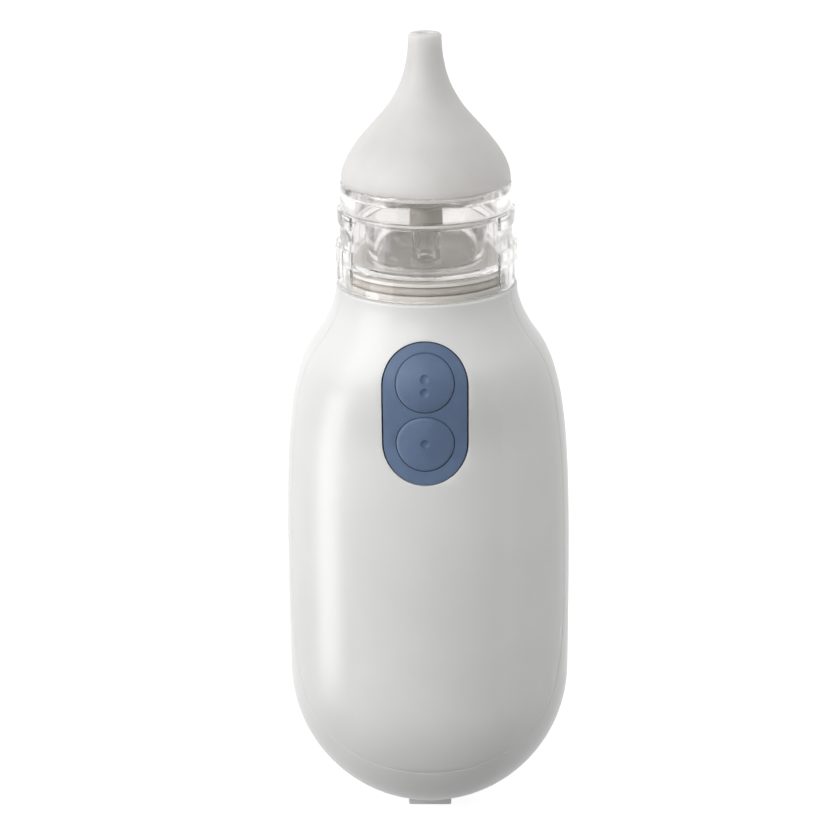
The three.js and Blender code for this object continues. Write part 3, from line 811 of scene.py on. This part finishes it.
# clear collector: cup with a raised well and stem, lid above it, ribbed grips at its sides
cupLow, cupHigh = inMm("collector_cup")
cup = {
    "skirtBottom": cupLow[2],
    "top": cupHigh[2],
    "skirt": 17.45,
    "skirtBore": 15.6,
    "rim": 16.75,
    "bore": 15.4,
    "floor": 119.4,
    "floorUnder": 118.1,
    "web": 120.2,
    "webTop": 121.6,
    "stem": 3.0,
    "stemTop": 127.4,
    "stemBore": 1.5,
    "wellTop": 129.2,
    "grip": cupHigh[0] - 0.03,
    "gripLow": 117.3,
    "gripHigh": 124.4,
    "gripSpread": 36,
    "ribs": (-31, -10.5, 10.5, 31),
    "ribSpread": 5,
    "lug": 17.4,
    "lugLow": 128.6,
    "lugHigh": 131,
    "lugSpread": 34,
}


# a sector of a ring, centred on an angle and reaching the same way to both sides
def sector(name, inner, outer, low, high, centre, spread, steps=12):
    profile = [(inner, low), (outer, low), (outer, high), (inner, high)]
    return turn(name, profile, steps=steps, start=centre + spread, sweep=2 * spread)


def makeCup():
    plan = cup
    hole, under, skirtBore, bore = plan["stemBore"], plan["floorUnder"], plan["skirtBore"], plan["bore"]
    profile = [
        (hole, under), (10.9, under), (11.3, plan["web"]), (skirtBore, plan["web"]),
        (skirtBore, plan["skirtBottom"]), (plan["skirt"], plan["skirtBottom"]), (plan["rim"], plan["top"]),
        (bore, plan["top"]), (bore, plan["webTop"]), (11.6, plan["webTop"]), (12.9, plan["wellTop"]),
        (12.1, plan["wellTop"]), (10.6, plan["floor"]), (plan["stem"], plan["floor"]),
        (plan["stem"] - 0.25, plan["stemTop"]), (hole, plan["stemTop"]),
    ]
    body = turn("collectorCup", profile, steps=128)
    low, high, edge = plan["gripLow"], plan["gripHigh"], plan["grip"]
    for side in (0, 180):
        carve(body, sector("gripPad", 16.3, edge - 0.3, low, high, side, plan["gripSpread"], 36), "UNION")
        for rib in plan["ribs"]:
            bar = sector("gripRib", 16.4, edge, low + 0.3, high - 0.3, side + rib, plan["ribSpread"])
            carve(body, bar, "UNION")
        lug = sector("lug", 16.2, plan["lug"], plan["lugLow"], plan["lugHigh"], side, plan["lugSpread"], 24)
        carve(body, lug, "UNION")
    softenEdges(body, 0.16, angle=40)
    smooth(body, 40)
    finished(body, "clear_plastic", "collector", "collector_cup")


makeCup()
print("collector cup made")


lidPlan = {"floorLow": 133.5, "floorHigh": 134.4, "spigotBore": 13.6, "spigot": 14.9, "groove": 14.1,
           "grooveLow": 130, "grooveHigh": 131.1, "rimLow": 131.5, "recess": 15.2,
           "inlet": 2.2, "inletOut": 8}


def makeLid():
    low, high = inMm("collector_lid")
    plan = lidPlan
    profile = [
        (0, plan["floorLow"]), (plan["spigotBore"], plan["floorLow"]), (plan["spigotBore"], low[2]),
        (plan["spigot"], low[2]), (plan["spigot"], plan["grooveLow"]), (plan["groove"], plan["grooveLow"]),
        (plan["groove"], plan["grooveHigh"]), (plan["spigot"], plan["grooveHigh"]),
        (plan["spigot"], plan["rimLow"]), (high[0], plan["rimLow"]), (high[0] - 0.2, high[2]),
        (plan["recess"], high[2]), (plan["recess"], plan["floorHigh"]), (0, plan["floorHigh"]),
    ]
    lid = turn("collectorLid", profile, steps=128)
    for i in range(4):
        angle = math.radians(45 + 90 * i)
        startFresh()
        out = plan["inletOut"] * mm
        bpy.ops.mesh.primitive_cylinder_add(vertices=48, radius=plan["inlet"] * mm, depth=4 * mm, location=(
            out * math.cos(angle), out * math.sin(angle), 134 * mm))
        carve(lid, placed(bpy.context.object, f"inlet{i}"))
    softenEdges(lid, 0.18, angle=40)
    smooth(lid, 40)
    finished(lid, "clear_plastic", "collector_top", "collector_lid")


makeLid()


def roundRing(name, major, minor, height, slotName, body, node):
    ring = turn(name, arc(major, height, minor, 0, 360, 20)[:-1])
    smooth(ring, 60)
    finished(ring, slotName, body, node)


def makeSmallTurned():
    low = inMm("splash_baffle")[0]
    top = lidPlan["floorLow"] - 0.05
    baffle = turn("splashBaffle", [(0, low[2] + 0.5), (3.2, low[2] + 0.5), (3.2, top), (0, top)], steps=64)
    softenEdges(baffle, 0.3)
    smooth(baffle)
    finished(baffle, "grey_silicone", "collector_top", "splash_baffle")
    roundRing("neckSeal", 14.5, 0.74, 118, "grey_silicone", "casing", "neck_seal")
    roundRing("lidSeal", 14.55, 0.44, 130.55, "milky_silicone", "collector_top", "lid_seal")
    gasket = turn("portGasket", [(1.5, 116.8), (3.4, 116.8), (3.4, 117.9), (1.5, 117.9)], steps=64)
    softenEdges(gasket, 0.2)
    smooth(gasket)
    finished(gasket, "milky_silicone", "casing", "port_gasket")
    plug = turn("neckPlug", [
        (0.9, 110.6), (1.5, 110.6), (1.5, 113.6), (4.2, 113.6), (4.2, 110.1), (16.4, 108.9), (16.4, 110.1),
        (15.6, 111.4), (15.6, 116), (15.1, 116), (15.1, 117.1), (13.7, 117.1), (13.7, 118.9), (15.1, 118.9),
        (15.1, 119.6), (11.7, 119.6), (11.7, 115.2), (4, 115.2), (4, 116.6), (0.9, 116.6)], steps=96)
    softenEdges(plug, 0.15)
    smooth(plug)
    finished(plug, "neck_plastic", "casing", "neck_plug")


makeSmallTurned()
print("lid, seals and neck plug made")


# pale floor and soft studio light
stagePlan = {"glow": 0.85, "airFront": 0.54, "airBack": 0.95, "airTop": 0.7, "bounce": "#3E3E3E"}
lampPlan = {
    "keySoftbox": {"place": (-0.5, -0.25, 0.3), "size": (0.4, 0.5), "power": 1.6},
    "fillSoftbox": {"place": (-0.3, -0.8, 0.6), "size": (0.6, 0.6), "power": 2.35},
    "highlightCard": {"place": (-0.086, -0.033, 0.044), "size": (0.032, 0.086), "power": 0.034,
                      "diffuse": False},
}


def setStage():
    startFresh()
    bpy.ops.mesh.primitive_plane_add(size=12, location=(0, 0, 0))
    floor = placed(bpy.context.object, "studioFloor")
    material, tree, surface, place = newMaterial("paleStudioPaper", Roughness=0.9)
    noise = cloudyColour(tree, surface, place, "#9E9E9E", "#A4A4A4", 60)
    output = tree.nodes["Material Output"]
    # soft bounce meets a dimmer paper than the eye and the gloss do, so that undersides stay shaded
    path = addNode(tree, "ShaderNodeLightPath")
    glow = addNode(tree, "ShaderNodeEmission", {"Color": (1, 1, 1, 1), "Strength": stagePlan["glow"]})
    lit = addNode(tree, "ShaderNodeAddShader")
    tree.links.new(surface.outputs["BSDF"], lit.inputs[0])
    tree.links.new(glow.outputs["Emission"], lit.inputs[1])
    dim = addNode(tree, "ShaderNodeBsdfDiffuse", {"Color": linear(stagePlan["bounce"])})
    chosen = addNode(tree, "ShaderNodeMixShader", {"Fac": path.outputs["Is Diffuse Ray"]})
    tree.links.new(lit.outputs["Shader"], chosen.inputs[1])
    tree.links.new(dim.outputs["BSDF"], chosen.inputs[2])
    tree.links.new(chosen.outputs["Shader"], output.inputs["Surface"])
    floor.data.materials.append(material)
    world = bpy.data.worlds.new("studioAir")
    bpy.context.scene.world = world
    world.use_nodes = True
    air = world.node_tree
    heading = addNode(air, "ShaderNodeTexCoord").outputs["Generated"]
    split = addNode(air, "ShaderNodeSeparateXYZ", {"Vector": heading})
    around = addNode(air, "ShaderNodeMapRange", {
        "Value": split.outputs["Y"], "From Min": -0.9, "From Max": 0.1,
        "To Min": stagePlan["airFront"], "To Max": stagePlan["airBack"]})
    above = addNode(air, "ShaderNodeMapRange", {
        "Value": split.outputs["Z"], "From Min": 0.1, "From Max": 0.9,
        "To Min": 1.0, "To Max": stagePlan["airTop"]})
    level = addNode(air, "ShaderNodeMath", {0: around.outputs["Result"], 1: above.outputs["Result"]},
                    operation="MULTIPLY")
    air.nodes["Background"].inputs["Color"].default_value = (1, 1, 1, 1)
    air.links.new(level.outputs["Value"], air.nodes["Background"].inputs["Strength"])


lampAim = 0.12       # lamps stand level with the object, or look down at this height


def setLamps(plan):
    for name, lamp in plan.items():
        data = bpy.data.lights.new(name, "AREA")
        data.shape = "RECTANGLE"
        data.size, data.size_y = lamp["size"]
        data.energy = lamp["power"]
        item = bpy.data.objects.new(name, data)
        item.location = lamp["place"]
        item.rotation_mode = "QUATERNION"
        level = Vector((0, 0, min(lampAim, lamp["place"][2])))
        item.rotation_quaternion = (level - item.location).to_track_quat("-Z", "Y")
        item.visible_camera = False
        item.visible_diffuse = lamp.get("diffuse", True)
        bpy.context.scene.collection.objects.link(item)


setStage()
setLamps(lampPlan)
bpy.context.scene.view_settings.view_transform = "Standard"
bounces = 32                 # the collector is many clear walls deep
bpy.context.scene.cycles.max_bounces = bounces
bpy.context.scene.cycles.transmission_bounces = bounces
bpy.context.scene.cycles.glossy_bounces = bounces
startFresh()
print("stage, lamps and camera set")
